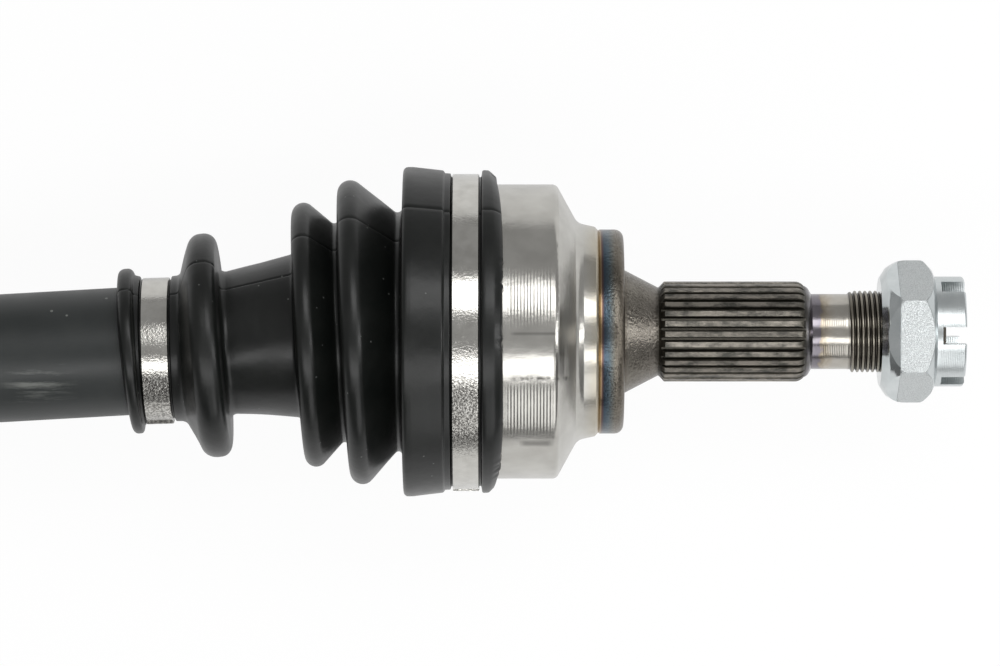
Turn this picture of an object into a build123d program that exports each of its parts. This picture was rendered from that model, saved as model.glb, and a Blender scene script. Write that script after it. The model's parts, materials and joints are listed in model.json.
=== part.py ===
from build123d import *
import math
import os

# Drive shaft of a front-wheel-drive car, in millimetres. The origin lies on the stub's axis in the plane
# of the wheel hub's shoulder, +X points outboard along the stub and +Z points up.
bend_angle = 3.2
joint_spacing = 305.0
running_gap = 0.05
free_gap = 0.3

# Outer joint, whose centre lies inboard of the hub shoulder
shoulder_to_centre = 41.9
bell_radius = 43.1
bell_mouth = 20.0
bell_straight = 22.3
bell_neck_start = 28.5
bell_neck_radius = 31.4
ring_radius = 29.9
ring_width = 7.3
ring_edge = 2.6
neck_lip = 1.0
flare_radius = 38.5
flare_depth = 9.5
cavity_depth = 25.0

# Splines: the half widths of a tooth's land and foot as shares of the pitch
tooth_land = 0.25
tooth_foot = 0.39

# Stub with the hub's spline and thread
cone_base_radius = 18.2
cone_tip_radius = 12.9
cone_length = 10.2
hub_teeth = 30
hub_tip_radius = 14.65
hub_root_radius = 13.45
hub_spline_length = 43.4
hub_tooth_chamfer = 1.5
hub_tooth_rounding = 3.4
hub_root_rounding = 2.2
hub_spline_turn = -2.8
hub_neck_radius = 11.0
hub_neck_length = 11.7
thread_radius = 11.97
thread_depth = 0.9
thread_length = 28.6
pin_hole_radius = 2.0
pin_hole_from_end = 7.0

# Castellated nut
nut_flats = 36.2
nut_hex_length = 16.4
nut_crown_length = 8.2
nut_crown_radius = 16.1
nut_slot_width = 5.1
nut_slot_depth = 7.0
nut_face_depth = 0.3
nut_face_start = 5.1
nut_face_width = 21.2
nut_turn = 4.7
nut_from_shoulder = 75.0

# Balls, cage and star
ball_radius = 8.73
ball_circle = 29.0
ball_count = 6
ball_clearance = 0.1
track_side_room = 0.78
cage_outer_radius = 32.1
cage_inner_radius = 27.4
cage_half_width = 13.0
window_length = 20.5
window_corner = 6.0
race_half_width = 12.5
race_teeth = 26
race_tip_radius = 13.0
race_root_radius = 12.0
track_end_angle = 22.0

# Shaft
tube_radius = 18.75
tube_wall = 3.5
outer_weld = 90.0
inner_weld = 95.0
flange_length = 2.0
weld_taper = 9.0
outer_neck_radius = 13.0
inner_neck_radius = 11.5
stub_overhang = 3.5
snap_ring_thickness = 1.8
snap_ring_depth = 1.2
snap_ring_height = 2.4
ring_gap_angle = 40.0

# Spider and rollers
spider_half_width = 12.0
spider_hub_radius = 17.0
spider_teeth = 24
spider_tip_radius = 12.0
spider_root_radius = 11.0
trunnion_radius = 10.2
trunnion_base_radius = 12.8
trunnion_root = 14.0
trunnion_reach = 34.2
roller_radius = 16.5
roller_crown_drop = 0.7
roller_width = 10.0
roller_circle = 26.0
needle_radius = 1.6
needle_count = 22
needle_gap = 0.03
washer_radius = 14.6
washer_thickness = 0.9
roller_ring_thickness = 1.2

# Tulip with its three tracks and the gearbox stub
tulip_mouth = 32.0
tulip_seat_radius = 43.2
tulip_seat_length = 27.0
tulip_radius = 42.4
track_depth = 41.0
trunnion_end_room = 2.1
track_corner = 3.5
roller_side_gap = 0.85
core_radius = 22.5
core_flare_start = 14.0
core_flare_radius = 28.5
scallop_radius = 30.0
scallop_floor = 30.0
tulip_floor = 8.0
seal_land_radius = 20.0
seal_land_start = 59.0
seal_land_length = 17.0
gearbox_teeth = 26
gearbox_tip_radius = 14.0
gearbox_root_radius = 12.9
gearbox_spline_length = 32.0
gearbox_end = 114.0
stub_ring_from_end = 7.0
stub_ring_wire = 1.0

# Boots and their clamps
boot_wall = 2.3
least_crest = 0.6
cuff_thickness = 4.6
cuff_groove_thickness = 2.1
collar_thickness = 5.25
collar_groove_thickness = 1.35
band_squeeze = 0.15
band_thickness = 0.8
band_side_room = 0.4
large_band_width = 7.8
small_band_width = 7.9
ear_height = 4.2
ear_width = 9.0
ear_turn = 35.0

# Frames: each is a place on the shaft's line at rest
OUTER = Pos(-shoulder_to_centre, 0, 0)
SHAFT = OUTER * Rot(0, 0, bend_angle)
CAGE = OUTER * Rot(0, 0, bend_angle / 2)
INNER = SHAFT * Pos(-joint_spacing, 0, 0)


def turned(corners, fillets=None):
    """Turn a closed half profile of (x, radius) corners about X. Fillets gives radii by corner number."""
    fillets = fillets or {}
    radii = [fillets.get(number, 0) for number in range(len(corners))]
    return revolve(make_face(FilletPolyline(*corners, radius=radii, close=True)), Axis.X)


def ring(start, end, inner, outer):
    """Plain ring about X, from start to end."""
    return turned([(start, inner), (start, outer), (end, outer), (end, inner)])


def tooth_outline(teeth, tip, root):
    """Cross section of a straight-sided spline in the YZ plane."""
    corners = []
    shares = ((-tooth_foot, root), (-tooth_land, tip), (tooth_land, tip), (tooth_foot, root))
    for tooth in range(teeth):
        for share, radius in shares:
            angle = 2 * math.pi * (tooth + share) / teeth
            corners.append((radius * math.cos(angle), radius * math.sin(angle)))
    return Plane.YZ * make_face(Polyline(*corners, close=True))


def splined_bar(teeth, tip, root, start, end, chamfer=1.0):
    """Spline teeth on a bar along X, chamfered at both ends."""
    bar = Pos(start, 0, 0) * extrude(tooth_outline(teeth, tip, root), end - start)
    low = tip - chamfer
    high = tip + 0.1
    envelope = [(start, 0), (start, low), (start + chamfer, high), (end - chamfer, high), (end, low), (end, 0)]
    return bar & turned(envelope)


def snap_ring(position, seat_radius, height, thickness):
    """Open ring about X in a groove, its gap at the top."""
    whole = ring(position, position + thickness, seat_radius, seat_radius + height)
    reach = 2 * (seat_radius + height)
    half = math.radians(ring_gap_angle / 2)
    side = reach * math.sin(half)
    top = reach * math.cos(half)
    corners = [(0, 0), (-side, top), (side, top)]
    gap = extrude(Plane.YZ * make_face(Polyline(*corners, close=True)), thickness + 2)
    return whole - Pos(position - 1, 0, 0) * gap


def sphere_point(radius, x):
    """Point of a half profile on a sphere about the origin."""
    return (x, math.sqrt(radius**2 - x**2))


def sphere_arc(radius, start, end):
    """Arc of a half profile on a sphere about the origin."""
    return ThreePointArc(
        sphere_point(radius, start), sphere_point(radius, (start + end) / 2), sphere_point(radius, end)
    )


def turned_edges(edges):
    """Turn a half profile made of joined edges about X."""
    return revolve(make_face(edges), Axis.X)


def around(count, part, first=0.0):
    """Copies of a part, evenly spaced about X. Angle 0 is where the part is drawn."""
    return [Rot(first + 360 * number / count, 0, 0) * part for number in range(count)]


# Outer joint

thread_core_radius = thread_radius - thread_depth
ball_track_radius = ball_radius + track_side_room + free_gap
cavity_radius = cage_outer_radius + free_gap
race_radius = cage_inner_radius - free_gap


def ball_track(end_angle):
    """Curved track for one ball at the top, open towards the mouth. The ball's centre may run outboard as far
    as the end angle."""
    end = end_angle + math.degrees(math.asin(ball_track_radius / ball_circle))
    arc = Torus(ball_circle, ball_track_radius, major_angle=90 + end, align=None)
    return Rot(90, 0, 0) * Rot(0, 0, 90 - end) * arc


def bell_cavity():
    """Spherical room for the cage, with a conical mouth, about the joint's centre."""
    land = flare_depth - bell_mouth
    beyond = bell_mouth + 1
    slope = (flare_radius - sphere_point(cavity_radius, land)[1]) / flare_depth
    floor_edge = sphere_point(cavity_radius, cavity_depth)
    rim = (-beyond, flare_radius + slope)
    edges = [
        Line((cavity_depth, 0), floor_edge),
        sphere_arc(cavity_radius, cavity_depth, land),
        Line(sphere_point(cavity_radius, land), rim),
        Line(rim, (-beyond, 0)),
        Line((-beyond, 0), (cavity_depth, 0)),
    ]
    return turned_edges(edges)


def outer_housing():
    """Bell, shoulder ring, cone, spline, plain neck and thread, one forging."""
    mouth = -shoulder_to_centre - bell_mouth
    straight_end = bell_straight - shoulder_to_centre
    neck_start = bell_neck_start - shoulder_to_centre
    spline_end = cone_length + hub_spline_length
    neck_end = spline_end + hub_neck_length
    stub_end = neck_end + thread_length
    corners = [
        (mouth, 0),
        (mouth, bell_radius),
        (straight_end, bell_radius),
        (neck_start, bell_neck_radius + 0.4),
        (-ring_width - neck_lip, bell_neck_radius - 0.7),
        (-ring_width, ring_radius - 0.3),
        (0.3 - ring_width, ring_radius),
        (0, ring_radius),
        (0, cone_base_radius),
        (cone_length, cone_tip_radius),
        (cone_length + 0.8, hub_root_radius),
        (spline_end, hub_root_radius),
        (spline_end + 1.4, hub_neck_radius),
        (neck_end, hub_neck_radius),
        (neck_end + 0.5, thread_core_radius),
        (stub_end - 1.0, thread_core_radius),
        (stub_end, thread_core_radius - 1.0),
        (stub_end, 0),
    ]
    blank = turned(corners, {1: 0.8, 2: 2.0, 3: 3.5, 7: ring_edge, 11: hub_root_rounding})
    teeth = splined_bar(
        hub_teeth, hub_tip_radius, hub_root_radius, cone_length + 0.4, spline_end, hub_tooth_chamfer
    )
    tip_line = [(0, 0), (0, hub_tip_radius), (spline_end, hub_tip_radius), (spline_end, 0)]
    teeth = Rot(hub_spline_turn, 0, 0) * teeth & turned(tip_line, {2: hub_tooth_rounding})
    tracks = around(ball_count, ball_track(track_end_angle))
    pin_hole = Pos(stub_end - pin_hole_from_end, 0, 0) * Cylinder(pin_hole_radius, 4 * thread_core_radius)
    cavity = OUTER * bell_cavity()
    return blank + teeth - cavity - [OUTER * track for track in tracks] - pin_hole


def hub_nut():
    """Hexagon with rounded corners and a slotted crown."""
    crown_start = nut_hex_length
    end = nut_hex_length + nut_crown_length
    corner = nut_flats / 2 / math.cos(math.pi / 6)
    envelope = turned(
        [
            (0, 0),
            (0, corner - 5.0),
            (1.8, corner - 2.2),
            (5.4, corner),
            (crown_start - 3.9, corner),
            (crown_start - 1.3, corner - 2.7),
            (crown_start, corner - 5.6),
            (crown_start, 0),
        ],
        {2: 2.5, 3: 8.0, 4: 2.0, 5: 2.0},
    )
    hexagon = Plane.YZ * RegularPolygon(nut_flats / 2 + nut_face_depth, 6, major_radius=False)
    crown = turned(
        [
            (crown_start - 0.5, 0),
            (crown_start - 0.5, nut_crown_radius),
            (end, nut_crown_radius),
            (end, 0),
        ],
        {2: 0.9},
    )
    slot = Box(nut_slot_depth + 1, nut_slot_width, 2 * nut_crown_radius + 2)
    slots = around(3, Pos(end - (nut_slot_depth - 1) / 2, 0, 0) * slot)
    bore = ring(-1, end + 1, 0, thread_core_radius + running_gap)
    face_length = crown_start - nut_face_start + 3
    face = Pos(nut_face_start + face_length / 2, 0) * RectangleRounded(face_length, nut_face_width, 2.4)
    faces = around(6, Pos(0, 0, nut_flats / 2) * extrude(face, 3))
    nut = (extrude(hexagon, crown_start) & envelope) - faces + crown - slots - bore
    return Pos(nut_from_shoulder, 0, 0) * Rot(nut_turn, 0, 0) * nut


def ball_cage():
    """Spherical band with a window for each ball."""
    half = cage_half_width
    edges = [
        sphere_arc(cage_outer_radius, -half, half),
        Line(sphere_point(cage_outer_radius, half), sphere_point(cage_inner_radius, half)),
        sphere_arc(cage_inner_radius, half, -half),
        Line(sphere_point(cage_inner_radius, -half), sphere_point(cage_outer_radius, -half)),
    ]
    opening = RectangleRounded(2 * (ball_radius + ball_clearance), window_length, window_corner)
    window = Pos(0, 0, ball_circle / 2) * extrude(opening, ball_circle)
    return CAGE * (turned_edges(edges) - around(ball_count, window))


def balls():
    """One ball for each window."""
    ball = Pos(0, 0, ball_circle) * Sphere(ball_radius)
    return [CAGE * placed for placed in around(ball_count, ball)]


def inner_race():
    """Ball star with six curved tracks and a splined bore."""
    half = race_half_width
    edges = [
        Line((-half, 0), sphere_point(race_radius, -half)),
        sphere_arc(race_radius, -half, half),
        Line(sphere_point(race_radius, half), (half, 0)),
        Line((half, 0), (-half, 0)),
    ]
    track = Rot(90, 0, 0) * Rot(0, 0, 45) * Torus(ball_circle, ball_track_radius, major_angle=90, align=None)
    bore = tooth_outline(race_teeth, race_tip_radius + running_gap, race_root_radius + running_gap)
    star = turned_edges(edges) - around(ball_count, track)
    return SHAFT * (star - Pos(-half - 1, 0, 0) * extrude(bore, 2 * half + 2))


def stub_bar(half_width, tip, root, teeth, neck_radius, weld):
    """Splined end of the shaft about the middle of what sits on it. The neck and weld flange lie towards +X."""
    spline_end = half_width + snap_ring_thickness + stub_overhang
    groove = snap_ring_thickness + running_gap
    flange = weld - flange_length
    corners = [
        (-spline_end, 0),
        (-spline_end, root - 0.4),
        (spline_end, root - 0.4),
        (spline_end + 1.0, neck_radius),
        (flange - weld_taper, neck_radius),
        (flange, tube_radius),
        (weld, tube_radius),
        (weld, 0),
    ]
    bar = turned(corners, {4: 5.0, 5: 3.0})
    bar = bar + splined_bar(teeth, tip, root, -spline_end, spline_end)
    for start in (-half_width - groove, half_width):
        bar = bar - ring(start, start + groove, tip - snap_ring_depth, tip + 1)
    return bar


def retaining_rings(half_width, tip):
    """The two rings either side of what sits on a stub: towards -X, towards +X."""
    seat = tip - snap_ring_depth + running_gap
    near = snap_ring(-half_width - running_gap - snap_ring_thickness, seat, snap_ring_height, snap_ring_thickness)
    far = snap_ring(half_width + running_gap, seat, snap_ring_height, snap_ring_thickness)
    return near, far


def shaft_tube():
    """Tube between the two welds."""
    return SHAFT * ring(inner_weld - joint_spacing, -outer_weld, tube_radius - tube_wall, tube_radius)


# Inner joint

roller_bore = trunnion_radius + 2 * needle_radius + 2 * needle_gap
roller_low = roller_circle - roller_width / 2
roller_high = roller_circle + roller_width / 2
upright = Rot(0, -90, 0)


def spider():
    """Hub with three trunnions, one of them upright."""
    hub = turned(
        [
            (-spider_half_width, 0),
            (-spider_half_width, spider_hub_radius),
            (spider_half_width, spider_hub_radius),
            (spider_half_width, 0),
        ],
        {1: 1.0, 2: 1.0},
    )
    trunnion = turned(
        [
            (trunnion_root, 0),
            (trunnion_root, spider_half_width - 1),
            (spider_hub_radius + 1, trunnion_base_radius),
            (roller_low - free_gap, trunnion_base_radius),
            (roller_low - free_gap, trunnion_radius),
            (trunnion_reach - 0.8, trunnion_radius),
            (trunnion_reach, trunnion_radius - 0.8),
            (trunnion_reach, 0),
        ]
    )
    groove_start = roller_high + washer_thickness + 3 * running_gap
    groove = ring(groove_start, groove_start + roller_ring_thickness + running_gap, trunnion_radius - 0.8, 2 * roller_radius)
    bore = tooth_outline(spider_teeth, spider_tip_radius + running_gap, spider_root_radius + running_gap)
    body = hub + around(3, upright * (trunnion - groove))
    return INNER * (body - Pos(-spider_half_width - 1, 0, 0) * extrude(bore, 2 * spider_half_width + 2))


def roller():
    """Crowned roller with its axis along X."""
    edge = roller_radius - roller_crown_drop
    bore_chamfer = 0.4
    edges = [
        ThreePointArc((roller_low, edge), (roller_circle, roller_radius), (roller_high, edge)),
        Line((roller_high, edge), (roller_high, roller_bore + bore_chamfer)),
        Line((roller_high, roller_bore + bore_chamfer), (roller_high - bore_chamfer, roller_bore)),
        Line((roller_high - bore_chamfer, roller_bore), (roller_low + bore_chamfer, roller_bore)),
        Line((roller_low + bore_chamfer, roller_bore), (roller_low, roller_bore + bore_chamfer)),
        Line((roller_low, roller_bore + bore_chamfer), (roller_low, edge)),
    ]
    return turned_edges(edges)


def needle_set():
    """Needles in a circle about X, between a trunnion and its roller."""
    centre = trunnion_radius + needle_gap + needle_radius
    length = roller_width - 4 * running_gap
    needle = Pos(roller_circle, 0, centre) * Rot(0, 90, 0) * Cylinder(needle_radius, length)
    return Compound(children=around(needle_count, needle))


def roller_washer():
    """Thrust washer above a roller, about X."""
    start = roller_high + running_gap
    return ring(start, start + washer_thickness, trunnion_radius + running_gap, washer_radius)


def roller_circlip():
    """Ring in the trunnion's groove, about X."""
    start = roller_high + washer_thickness + 3 * running_gap
    return snap_ring(start + running_gap / 2, trunnion_radius - 0.75, 2.2, roller_ring_thickness)


def track_section():
    """Opening of the tulip in the YZ plane: a round core and three flat-sided tracks."""
    half = roller_radius + roller_side_gap
    track_reach = trunnion_reach + trunnion_end_room
    lobe = Pos(0, track_reach / 2) * Rectangle(2 * half, track_reach)
    lobe = fillet(lobe.vertices().group_by(Axis.Y)[-1], track_corner)
    section = Circle(core_radius)
    for number in range(3):
        section = section + Rot(0, 0, 120 * number) * lobe
    return Plane.YZ * section


def tulip():
    """Three-track housing and gearbox stub, one forging. Its mouth faces +X."""
    seat_end = tulip_mouth - tulip_seat_length
    floor = -track_depth - tulip_floor
    seal_end = -seal_land_start - seal_land_length
    spline_start = -gearbox_end + gearbox_spline_length
    corners = [
        (tulip_mouth, 0),
        (tulip_mouth, tulip_seat_radius),
        (seat_end, tulip_seat_radius),
        (seat_end - 1, tulip_radius),
        (floor + 9, tulip_radius),
        (floor, tulip_radius - 9),
        (floor - 7, seal_land_radius + 3),
        (-seal_land_start, seal_land_radius + 1.2),
        (-seal_land_start, seal_land_radius),
        (seal_end, seal_land_radius),
        (seal_end - 2, gearbox_tip_radius + 1.5),
        (spline_start + 2, gearbox_tip_radius + 0.5),
        (spline_start, gearbox_root_radius),
        (-gearbox_end, gearbox_root_radius),
        (-gearbox_end, 0),
    ]
    blank = turned(corners, {1: 0.8, 4: 3.0, 5: 4.0, 6: 4.0, 9: 0.6})
    teeth = splined_bar(
        gearbox_teeth, gearbox_tip_radius, gearbox_root_radius, -gearbox_end, spline_start + 0.5
    )
    groove_at = -gearbox_end + stub_ring_from_end
    groove = ring(groove_at, groove_at + 2 * stub_ring_wire + 2 * running_gap, gearbox_root_radius - 1.2, 30)
    scallop_length = track_depth + seat_end + 30
    scallop = Pos(seat_end - scallop_length / 2, 0, -scallop_floor - scallop_radius)
    scallop = scallop * Rot(0, 90, 0) * Cylinder(scallop_radius, scallop_length)
    tracks = Pos(-track_depth, 0, 0) * extrude(track_section(), track_depth + tulip_mouth + 1)
    slope = (core_flare_radius - core_radius) / (tulip_mouth - core_flare_start)
    flare = turned(
        [
            (core_flare_start, 0),
            (core_flare_start, core_radius),
            (tulip_mouth + 1, core_flare_radius + slope),
            (tulip_mouth + 1, 0),
        ]
    )
    return INNER * (blank + teeth - groove - around(3, scallop) - tracks - flare)


def stub_circlip():
    """Round wire ring in the gearbox stub's groove."""
    groove_at = -gearbox_end + stub_ring_from_end + running_gap
    middle = gearbox_root_radius - 1.2 + running_gap + stub_ring_wire
    sweep = 360 - ring_gap_angle
    wire = Torus(middle, stub_ring_wire, major_angle=sweep, align=None)
    return INNER * Pos(groove_at + stub_ring_wire, 0, 0) * Rot(0, 90, 0) * wire


# Boots and clamps

def crossing(a, b, c, d):
    """Point where the line through a and b meets the line through c and d."""
    first = a[0] * b[1] - a[1] * b[0]
    second = c[0] * d[1] - c[1] * d[0]
    along = (a[0] - b[0], a[1] - b[1])
    across = (c[0] - d[0], c[1] - d[1])
    scale = along[0] * across[1] - along[1] * across[0]
    return ((first * across[0] - along[0] * second) / scale, (first * across[1] - along[1] * second) / scale)


def inset(line, wall):
    """Corners of a boot's line moved inwards by its wall, without the line's two ends. A crest that is too
    narrow for its own two corners gets one corner, where its flanks meet."""
    moved = []
    for before, here, after in zip(line, line[1:], line[2:]):
        arriving = math.atan2(here[1] - before[1], here[0] - before[0])
        leaving = math.atan2(after[1] - here[1], after[0] - here[0])
        middle = (arriving + leaving) / 2
        reach = wall / math.cos((leaving - arriving) / 2)
        moved.append((here[0] + reach * math.sin(middle), here[1] - reach * math.cos(middle)))
    corners = moved[:1]
    for number in range(1, len(moved)):
        if moved[number][0] - moved[number - 1][0] < least_crest and line[number][1] == line[number + 1][1]:
            corners[-1] = crossing(*moved[number - 2 : number + 2])
        else:
            corners.append(moved[number])
    return corners


def boot_section(cuff, folds, collar, seat_radius, seat_end):
    """Wall of a boot as a half profile. Distance runs along X from the joint's centre towards the shaft."""
    collar_seat = tube_radius + free_gap
    inner = inset([cuff[-1]] + folds + [collar[0]], boot_wall)[:-1]
    corners = cuff + folds + collar + [(collar[-1][0], collar_seat), (folds[-1][0], collar_seat)]
    corners = corners + inner[::-1] + [(seat_end, seat_radius), (cuff[0][0], seat_radius)]
    return make_face(Polyline(*corners, close=True))


def cuff_outline(seat, start, groove, end):
    """Outer line of a thick cuff over a seat's radius, with its clamp groove."""
    groove_end = groove + large_band_width + 2 * band_side_room
    return [
        (start, seat + cuff_thickness),
        (groove, seat + cuff_thickness),
        (groove, seat + cuff_groove_thickness),
        (groove_end, seat + cuff_groove_thickness),
        (groove_end, seat + cuff_thickness - 0.5),
        (end, seat + cuff_thickness),
    ]


def collar_outline(groove, end):
    """Outer line of the collar on the shaft with its clamp groove."""
    groove_end = groove + small_band_width + 2 * band_side_room
    return [
        (groove, tube_radius + collar_groove_thickness + 1.1),
        (groove, tube_radius + collar_groove_thickness),
        (groove_end, tube_radius + collar_groove_thickness),
        (groove_end, tube_radius + collar_thickness),
        (end, tube_radius + collar_thickness),
    ]


outer_cuff_start = -4.4
outer_groove = -0.2
outer_cuff_end = 22.3
outer_collar_groove = 90.0
outer_collar_end = 104.0
inner_cuff_start = 7.5
inner_groove = 13.0
inner_cuff_end = 34.6
inner_collar_groove = 90.6
inner_collar_end = 104.6


def outer_boot():
    """Boot with three folds. Its stretches meet at planes across the stub's axis, and each leans further about
    the joint's centre, from cuff to collar. Two folds are drawn from the cuff's seat, the last from the tube."""
    seat = bell_radius
    folds = [
        (outer_cuff_end + 0.8, seat - 9.3),
        (34.0, seat + 1.2),
        (38.4, seat + 1.2),
        (40.0, seat - 12.5),
        (47.5, seat - 4.7),
        (51.8, seat - 4.7),
        (53.2, seat - 19.0),
        (74.4, tube_radius + 2.4),
        (76.4, tube_radius + 14.0),
        (81.4, tube_radius + 14.0),
        (86.6, tube_radius + 2.5),
    ]
    cuff = cuff_outline(seat, outer_cuff_start, outer_groove, outer_cuff_end)
    collar = collar_outline(outer_collar_groove, outer_collar_end)
    section = boot_section(cuff, folds, collar, seat + free_gap, bell_mouth + free_gap)
    stretches = [
        (outer_cuff_start, 28.0, 0.0),
        (28.0, 44.5, 0.4),
        (44.5, 70.0, 0.7),
        (70.0, outer_collar_end, 1.0),
    ]
    spare = 3.0
    tall = 2 * (seat + cuff_thickness)
    boot = None
    for start, end, lean in stretches:
        window = Pos((start + end) / 2, tall / 2) * Rectangle(end - start + 2 * spare, tall)
        stretch = Rot(0, 0, bend_angle * lean) * Rot(0, 180, 0) * revolve(section & window, Axis.X)
        near = start if start > outer_cuff_start else start - spare
        far = end if end < outer_collar_end else end + spare
        stretch = stretch & Pos(-(near + far) / 2, 0, 0) * Box(far - near, 2 * tall, 2 * tall)
        boot = stretch if boot is None else boot + stretch
    return OUTER * boot


def inner_boot():
    """Boot with four folds on the tulip's mouth, two drawn from the cuff's seat and two from the tube."""
    seat = tulip_seat_radius
    folds = [
        (inner_cuff_end + 1.0, seat - 7.2),
        (41.5, seat + 1.8),
        (45.0, seat + 1.8),
        (47.5, seat - 10.7),
        (52.0, seat - 2.2),
        (55.0, seat - 2.2),
        (57.5, seat - 14.2),
        (62.0, tube_radius + 18.2),
        (65.0, tube_radius + 18.2),
        (67.5, tube_radius + 6.7),
        (71.5, tube_radius + 13.7),
        (74.5, tube_radius + 13.7),
        (79.0, tube_radius + 2.8),
    ]
    cuff = cuff_outline(seat, inner_cuff_start, inner_groove, inner_cuff_end)
    collar = collar_outline(inner_collar_groove, inner_collar_end)
    section = boot_section(cuff, folds, collar, seat + free_gap, tulip_mouth + free_gap)
    return INNER * revolve(section, Axis.X)


def band_clamp(groove, groove_radius, width, turn):
    """Crimped band about X in a boot's groove, its ear on the underside, turned sideways by some degrees."""
    start = groove + band_side_room
    inner = groove_radius + band_squeeze
    radius = inner + band_thickness
    band = ring(start, start + width, inner, radius)
    ear_outline = Pos(0, -radius - ear_height / 2 + 0.5) * RectangleRounded(ear_width, ear_height + 1, 1.6)
    room = Pos(0, -radius - ear_height / 2 + 1.2) * RectangleRounded(ear_width - 3.2, ear_height - 0.8, 1.2)
    ear = Pos(start, 0, 0) * extrude(Plane.YZ * (ear_outline - room), width)
    return Rot(turn, 0, 0) * (band + (ear - ring(start, start + width, 0, inner)))


def clamps():
    """Large and small clamp of each boot by name."""
    reverse = Rot(0, 180, 0)
    outer_large = band_clamp(outer_groove, bell_radius + cuff_groove_thickness, large_band_width, -ear_turn)
    inner_large = band_clamp(inner_groove, tulip_seat_radius + cuff_groove_thickness, large_band_width, -ear_turn)
    collar_groove_radius = tube_radius + collar_groove_thickness
    outer_small = band_clamp(outer_collar_groove, collar_groove_radius, small_band_width, -ear_turn)
    inner_small = band_clamp(inner_collar_groove, collar_groove_radius, small_band_width, -ear_turn)
    return {
        "outer_boot_clamp_large": OUTER * reverse * outer_large,
        "outer_boot_clamp_small": SHAFT * reverse * outer_small,
        "inner_boot_clamp_large": INNER * inner_large,
        "inner_boot_clamp_small": INNER * inner_small,
    }


def build():
    """All nodes by name."""
    nodes = {
        "outer_housing": outer_housing(),
        "hub_nut": hub_nut(),
        "ball_cage": ball_cage(),
        "inner_race": inner_race(),
    }
    for number, ball in enumerate(balls(), 1):
        nodes[f"ball_{number}"] = ball
    outer_stub = stub_bar(
        race_half_width, race_tip_radius, race_root_radius, race_teeth, outer_neck_radius, outer_weld
    )
    inner_stub = stub_bar(
        spider_half_width, spider_tip_radius, spider_root_radius, spider_teeth, inner_neck_radius, inner_weld
    )
    snap, stop = retaining_rings(race_half_width, race_tip_radius)
    reverse = Rot(0, 180, 0)
    nodes["outer_shaft_stub"] = SHAFT * reverse * outer_stub
    nodes["race_snap_ring"] = SHAFT * reverse * snap
    nodes["race_stop_ring"] = SHAFT * reverse * stop
    nodes["shaft_tube"] = shaft_tube()
    nodes["inner_shaft_stub"] = INNER * inner_stub
    nodes["spider"] = spider()
    near, far = retaining_rings(spider_half_width, spider_tip_radius)
    nodes["spider_circlips"] = Compound(children=[INNER * near, INNER * far])
    placed = {
        "roller": roller(),
        "needles": needle_set(),
        "roller_washer": roller_washer(),
        "roller_circlip": roller_circlip(),
    }
    for name, part in placed.items():
        for number in range(3):
            nodes[f"{name}_{number + 1}"] = INNER * Rot(120 * number, 0, 0) * upright * part
    nodes["tulip"] = tulip()
    nodes["stub_circlip"] = stub_circlip()
    nodes["outer_boot"] = outer_boot()
    nodes["inner_boot"] = inner_boot()
    nodes.update(clamps())
    return nodes


os.makedirs("parts", exist_ok=True)
for name, shape in build().items():
    export_step(shape, f"parts/{name}.step")
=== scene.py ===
import math
import json
import bpy
from mathutils import Matrix, Vector


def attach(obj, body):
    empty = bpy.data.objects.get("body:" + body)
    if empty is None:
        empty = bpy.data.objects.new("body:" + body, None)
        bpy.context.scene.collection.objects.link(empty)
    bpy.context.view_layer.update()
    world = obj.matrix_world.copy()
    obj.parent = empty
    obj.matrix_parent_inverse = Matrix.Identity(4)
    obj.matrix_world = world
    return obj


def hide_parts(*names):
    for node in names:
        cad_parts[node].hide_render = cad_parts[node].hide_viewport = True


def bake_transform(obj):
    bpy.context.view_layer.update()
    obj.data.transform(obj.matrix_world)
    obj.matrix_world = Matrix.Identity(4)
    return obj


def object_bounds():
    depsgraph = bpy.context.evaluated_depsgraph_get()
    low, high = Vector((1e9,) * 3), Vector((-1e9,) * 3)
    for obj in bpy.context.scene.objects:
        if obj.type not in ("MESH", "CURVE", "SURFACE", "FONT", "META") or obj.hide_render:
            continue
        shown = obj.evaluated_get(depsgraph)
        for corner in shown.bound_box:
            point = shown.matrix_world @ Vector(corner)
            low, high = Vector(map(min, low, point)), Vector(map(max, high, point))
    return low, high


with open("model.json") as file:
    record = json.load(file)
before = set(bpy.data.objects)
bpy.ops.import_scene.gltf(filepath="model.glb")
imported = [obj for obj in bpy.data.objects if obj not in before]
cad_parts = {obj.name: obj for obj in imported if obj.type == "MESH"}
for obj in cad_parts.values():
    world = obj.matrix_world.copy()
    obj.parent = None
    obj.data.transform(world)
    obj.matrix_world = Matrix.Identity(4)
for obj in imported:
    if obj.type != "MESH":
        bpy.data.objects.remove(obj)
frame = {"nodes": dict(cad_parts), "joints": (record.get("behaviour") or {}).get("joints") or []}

cad_box = [list(corner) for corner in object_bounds()]

# Lengths are in metres. MM turns millimetres, as on a drawing, into metres.
MM = 0.001
JOINTS = {joint["name"]: joint for joint in frame["joints"]}
NODES = frame["nodes"]
OUTER_CENTRE = Vector(JOINTS["outer_bend"]["pos_m"])
INNER_CENTRE = Vector(JOINTS["inner_bend"]["pos_m"])
STUB_DIRECTION = Vector((1, 0, 0))
SHAFT_DIRECTION = (OUTER_CENTRE - INNER_CENTRE).normalized()
BEND = math.atan2(SHAFT_DIRECTION.y, SHAFT_DIRECTION.x)
FLOOR_Z = cad_box[0][2]
NUT_TURN = math.radians(4.7)


def local_frame(centre, direction):
    """Matrix whose X axis runs along direction and whose Z axis points up."""
    x = direction.normalized()
    z = Vector((0, 0, 1))
    y = z.cross(x).normalized()
    turn = Matrix((x, y, x.cross(y))).transposed().to_4x4()
    return Matrix.Translation(centre) @ turn


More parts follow.
